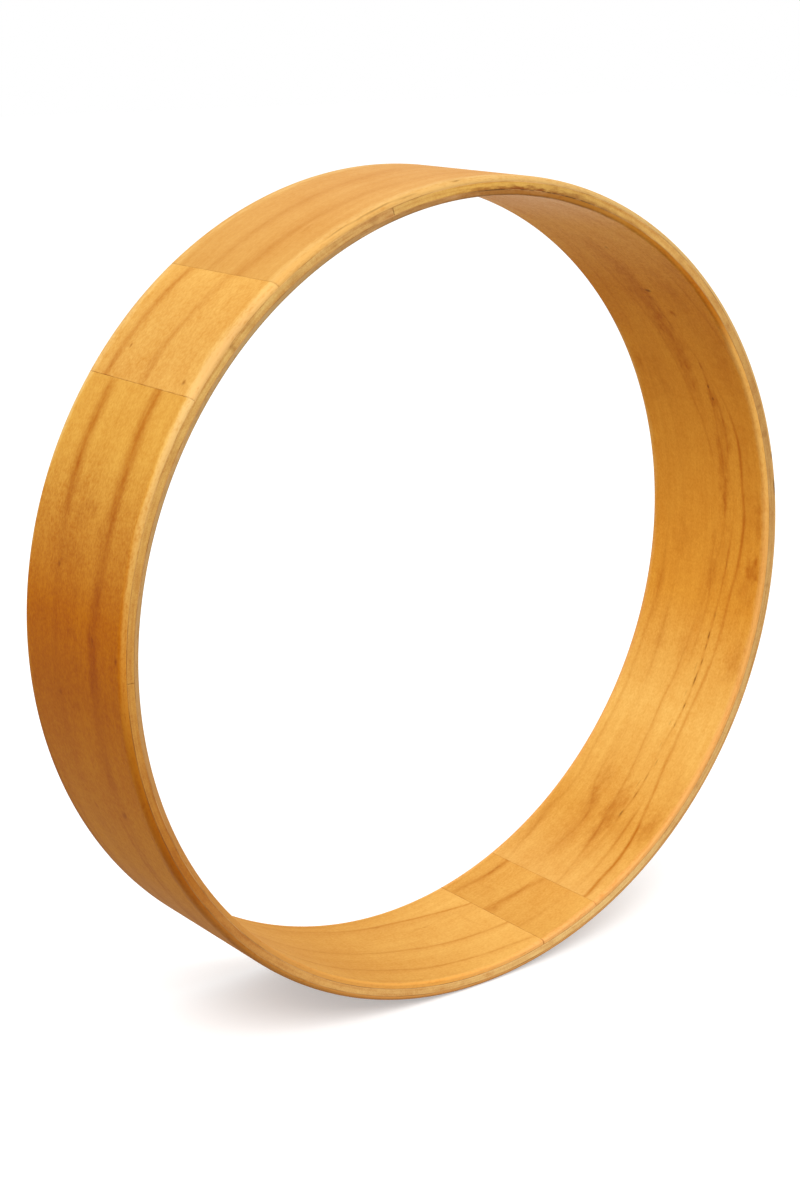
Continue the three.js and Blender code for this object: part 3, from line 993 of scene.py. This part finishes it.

# The outer face
# The long veneer of the outside, bent round the core. Its growth lines are strong at the left, where
# it turns from pale amber to a deep golden brown below them: partly the wood's own tone, partly
# painted shade on the side that faces away from the softbox.
OUTER_OUTSIDE = SHELL_RADIUS
OUTER_INSIDE = SHELL_RADIUS - OUTER_PLY
OUTER_CORNERS = (3 * MM, 1.1 * MM, 0, 0)
OUTER_STRIP = (144.22, 486.18)
OUTER_LINES = (
    {
        "path": (
            (144, 17.6), (155, 17), (160, 16), (164, 15), (170, 14.2), (180, 14), (190, 13), (240, 12),
            (290, 17), (340, 20), (400, 16), (450, 11), (464, 9.6), (486, 9.4),
        ),
        "strength": (
            (144, 0.35), (146.6, 0.9), (152, 1), (160, 0.9), (164, 0.45), (170, 0.3), (200, 0.2),
            (240, 0.3), (400, 0.3), (460, 0.25), (468, 0.35), (486, 0.3),
        ),
        "widths": (6, 5.6, 4),
    },
    {
        "path": (
            (144, -16), (150, -17.2), (156, -18.2), (161, -18.8), (166, -18.4), (172, -17.6), (190, -17),
            (240, -11), (300, -8), (360, -14), (420, -19), (456, -16.6), (466, -15.2), (486, -11.2),
        ),
        "strength": (
            (144, 0.85), (146.6, 1), (160, 1), (165, 0.7), (172, 0.75), (184, 0.5), (205, 0.25),
            (260, 0.4), (440, 0.3), (460, 0.25), (468, 0.35), (486, 0.35),
        ),
        "widths": (5.6, 3.6, 9),
    },
    {
        "path": ((144, 33), (205, 29), (220, 29), (260, 26), (320, 30), (400, 33), (486, 34)),
        "strength": ((144, 0), (195, 0), (210, 0.4), (330, 0.4), (420, 0.2), (486, 0)),
        "widths": (2, 5, 3),
    },
    {
        "path": ((144, 0), (200, -10), (218, -10), (250, -2), (300, 6), (360, 2), (420, -4), (486, -2)),
        "strength": ((144, 0), (190, 0), (205, 0.35), (260, 0.5), (380, 0.4), (440, 0.1), (486, 0)),
        "widths": (2, 6, 3),
    },
    {
        "path": ((144, -34), (230, -30), (300, -27), (380, -31), (486, -34)),
        "strength": ((144, 0), (210, 0), (250, 0.4), (380, 0.4), (430, 0), (486, 0)),
        "widths": (1.6, 5, 3),
    },
)
OUTER_WOOD = {
    # The deep golden brown stops from 174 to 212 are partly the wood's own tone and partly painted shade,
    # where the face turns away from the softbox
    "tones": (
        (144.2, "#D29F47"), (152, "#D39F44"), (174, "#B46907"), (184, "#AA6107"), (212, "#C58325"),
        (228, "#CB8E49"), (300, "#D19D54"), (440, "#CF9F62"), (486.2, "#CA994F"),
    ),
    # From 186 to 222 the dark edge tones reach far onto the face, where the sanding is wide: partly the
    # front edge's own deeper tone, partly painted shade along the rounded front corner
    "edge tones": (
        (144.2, "#D3AB6A"), (168, "#C49348"), (178, "#BC7D2B"), (190, "#9F5E0F"), (208, "#914D07"),
        (236, "#B47935"), (252, "#C98944"), (280, "#CD9554"), (420, "#C29E62"), (486.2, "#C99851"),
    ),
    "figure": (
        (144, 1.8), (154, 2.1), (162, 3.3), (176, 3.3), (190, 2.8), (220, 2.2), (300, 2), (440, 1.1),
        (486, 1),
    ),
    "corner painted highlight": (
        (144, 0.9), (156, 0.7), (166, 0.4), (176, 0), (230, 0), (300, 0.3), (440, 0.8), (486, 1),
    ),
    "sanding": (
        (144, 4), (150, 3.4), (160, 2.4), (172, 2), (186, 4.4), (205, 6), (222, 6.4), (300, 3), (440, 5),
        (455, 7.6), (486, 7.6),
    ),
    "lines": OUTER_LINES,
    "line strength": 1.05,
    "marks": (
        (160.4, -2, 6, 10, 0.55), (162, 4, 7, 7, 0.4), (158.4, 9, 4, 9, 0.25), (166.6, 8, 9, 9, 0.4),
        (168.7, 13, 2, 2, 0.7), (163, -12, 5, 4, 0.3), (168.3, -10.5, 3, 2.2, 0.5), (167, -1, 5, 7, 0.3),
        (171, -17.6, 8, 3, 0.4), (171.4, -3, 4, 9, 0.4), (176, -13.4, 8, 4.4, 0.8),
        (176.6, -15.8, 4, 1.4, 0.8), (181, -15.6, 16, 5, 0.3), (176.6, 1, 2.4, 6, 0.45),
        (180.6, -2, 5, 8, 0.45), (186.4, 0, 4.4, 6, 0.45), (175, 24, 14, 6, 0.35),
        (185.6, 12, 2, 1.4, 0.7), (177.8, -33.4, 3.4, 2.4, 0.9), (194, -14, 22, 6, 0.35),
        (201, -16, 3.4, 3, 0.9), (202, 9, 3, 2.4, 0.5), (210, -12, 20, 5, 0.4), (475.4, -18, 4, 2, 0.4),
    ),
    "pits": (
        (168.7, 13, 1.6, 1.4, 0.35), (176.6, -15.8, 4, 1, 0.3), (177.8, -33.4, 2, 1.4, 0.3),
        (185.6, 12, 1.6, 1, 0.3), (201, -16, 2.2, 1.8, 0.3), (368.6, -37.4, 7, 1.4, 0.9),
        (373.4, -37.4, 3, 1.4, 0.7), (455.6, -36.2, 3, 0.8, 0.6), (464, -36.8, 9, 0.6, 0.45),
        (469, -36.4, 24, 0.7, 0.6), (475, -36.1, 12, 0.6, 0.5),
    ),
    "joints": ((0, 0), (0, 0.2)),
    "cut from": (0.7, 1.1, 0),
}
outer_wood = amber_birch("amber birch of the outer face", OUTER_STRIP, OUTER_WOOD)
outer_face = bend_piece(
    "outer_face_veneer", outer_wood, (OUTER_OUTSIDE, OUTER_INSIDE), OUTER_STRIP, OUTER_CORNERS
)
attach(outer_face, "root")
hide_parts("outer_strip")

# The piece that closes the outer ply
# A short length of paler veneer between the two ends of the long one, sanded flush with it.
OUTER_CLOSER = (126.2, 144.2)
OUTER_CLOSER_LINES = (
    {
        "path": ((126.2, 21.6), (135, 23.8), (144.2, 25.2)),
        "strength": ((126.2, 0.15), (127.4, 0.6), (137, 0.5), (144.2, 0.6)),
        "widths": (4, 4.6, 5),
    },
    {
        "path": ((126.2, -6.4), (132, -4.8), (138, -2.4), (141, -1.8), (144.2, -2.4)),
        "strength": ((126.2, 0.3), (134, 0.4), (139, 0.6), (144.2, 0.5)),
        "widths": (4.2, 5, 6),
    },
)
OUTER_CLOSER_WOOD = {
    "tones": ((126.2, "#D6A554"), (138, "#D3A252"), (144.2, "#D5A352")),
    "edge tones": ((126.2, "#D0A25C"), (134, "#C89A5A"), (144.2, "#D3A663")),
    "figure": ((126.2, 1.8), (144.2, 2.2)),
    "corner painted highlight": ((126.2, 1), (144.2, 1)),
    "sanding": ((126.2, 6), (136, 6), (144.2, 5)),
    "lines": OUTER_CLOSER_LINES,
    "line strength": 1.2,
    "marks": (
        (139.5, 19.6, 1.8, 1.4, 0.7), (142.6, -28.4, 2.6, 2, 0.7), (141, 0.6, 4, 1.2, 0.5),
        (141.6, -2.6, 8, 2, 0.3), (142, 25.4, 8, 2.4, 0.4),
    ),
    "pits": ((142.6, -28.4, 1.6, 1.2, 0.5), (139.5, 19.6, 1.4, 1, 0.4)),
    "joints": ((0.3, 0.25), (0.65, 0.2)),
    "cut from": (2.1, 0.6, 0),
}
outer_closer_wood = amber_birch(
    "amber birch of the outer closing piece", OUTER_CLOSER, OUTER_CLOSER_WOOD
)
outer_closer = bend_piece(
    "outer_closing_veneer", outer_closer_wood, (OUTER_OUTSIDE, OUTER_INSIDE), OUTER_CLOSER, OUTER_CORNERS
)
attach(outer_closer, "root")
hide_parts("outer_filler")

# The studio
# A plain pale floor under the rim, one large softbox from the upper left front, and even light
# from all round. What the camera and any gloss see beyond the floor is white.
FLOOR_REACH = 6
FLOOR_SEEN = "#DCDCDC"
FLOOR_LIFT = 0.35
FLOOR_BOUNCE = "#AAAAAA"
WHITE = "#FFFFFF"
FILL_STRENGTH = 1.1
SOFTBOX_SIZE = 1.0
SOFTBOX_DISTANCE = 1.8
SOFTBOX_AZIMUTH = -30
SOFTBOX_ELEVATION = 45
SOFTBOX_LEVEL = 0.634  # on white paper that faces it, where 1 is white

floor_corners = [
    (x * FLOOR_REACH, y * FLOOR_REACH, cad_box[0].z) for x, y in ((-1, -1), (1, -1), (1, 1), (-1, 1))
]
floor_mesh = bpy.data.meshes.new("floor")
floor_mesh.from_pydata(floor_corners, [], [(0, 1, 2, 3)])
floor = bpy.data.objects.new("floor", floor_mesh)
bpy.context.scene.collection.objects.link(floor)


def seen_directly(tree):
    """1 for what the camera, a reflection or glass sees, and 0 for the light that things cast."""
    rays = add_node(tree, "ShaderNodeLightPath").outputs
    either = add_node(tree, MATH, [rays["Is Camera Ray"], rays["Is Glossy Ray"]], "MAXIMUM")
    return add_node(tree, MATH, [either, rays["Is Transmission Ray"]], "MAXIMUM")


# The paper has no gloss. It looks paler than the light that it sends back to the hoop, and glows a
# little where it is seen, so that the floor stays pale and keeps a soft shadow.
paper = bpy.data.materials.new("matt white studio paper")
paper.use_nodes = True
tree = paper.node_tree
tree.nodes.clear()
tones = {"Factor": seen_directly(tree), "A": linear(FLOOR_BOUNCE), "B": linear(FLOOR_SEEN)}
colour = add_node(tree, MIX, tones, data_type="RGBA")
matt = add_node(tree, "ShaderNodeBsdfDiffuse", {"Color": colour})
lift = add_node(tree, MATH, [seen_directly(tree), FLOOR_LIFT], "MULTIPLY")
glow = add_node(tree, "ShaderNodeEmission", {"Color": linear(WHITE), "Strength": lift})
both = add_node(tree, "ShaderNodeAddShader", [matt, glow])
add_node(tree, "ShaderNodeOutputMaterial", {"Surface": both})
floor_mesh.materials.append(paper)

world = bpy.data.worlds.new("studio")
bpy.context.scene.world = world
world.use_nodes = True
tree = world.node_tree
tree.nodes.clear()
fill, white = (
    add_node(tree, "ShaderNodeBackground", {"Color": linear(WHITE), "Strength": strength})
    for strength in (FILL_STRENGTH, 1.0)
)
surround = add_node(tree, "ShaderNodeMixShader", [seen_directly(tree), fill, white])
add_node(tree, "ShaderNodeOutputWorld", {"Surface": surround})

softbox_data = bpy.data.lights.new("softbox", "AREA")
softbox_data.size = SOFTBOX_SIZE
softbox_data.energy = SOFTBOX_LEVEL * (math.pi * SOFTBOX_DISTANCE) ** 2
softbox = bpy.data.objects.new("softbox", softbox_data)
softbox_back = direction(SOFTBOX_AZIMUTH, SOFTBOX_ELEVATION)
softbox.matrix_world = Matrix.Translation(softbox_back * SOFTBOX_DISTANCE) @ turned_from(softbox_back)
bpy.context.scene.collection.objects.link(softbox)

bpy.context.scene.view_settings.view_transform = "Standard"
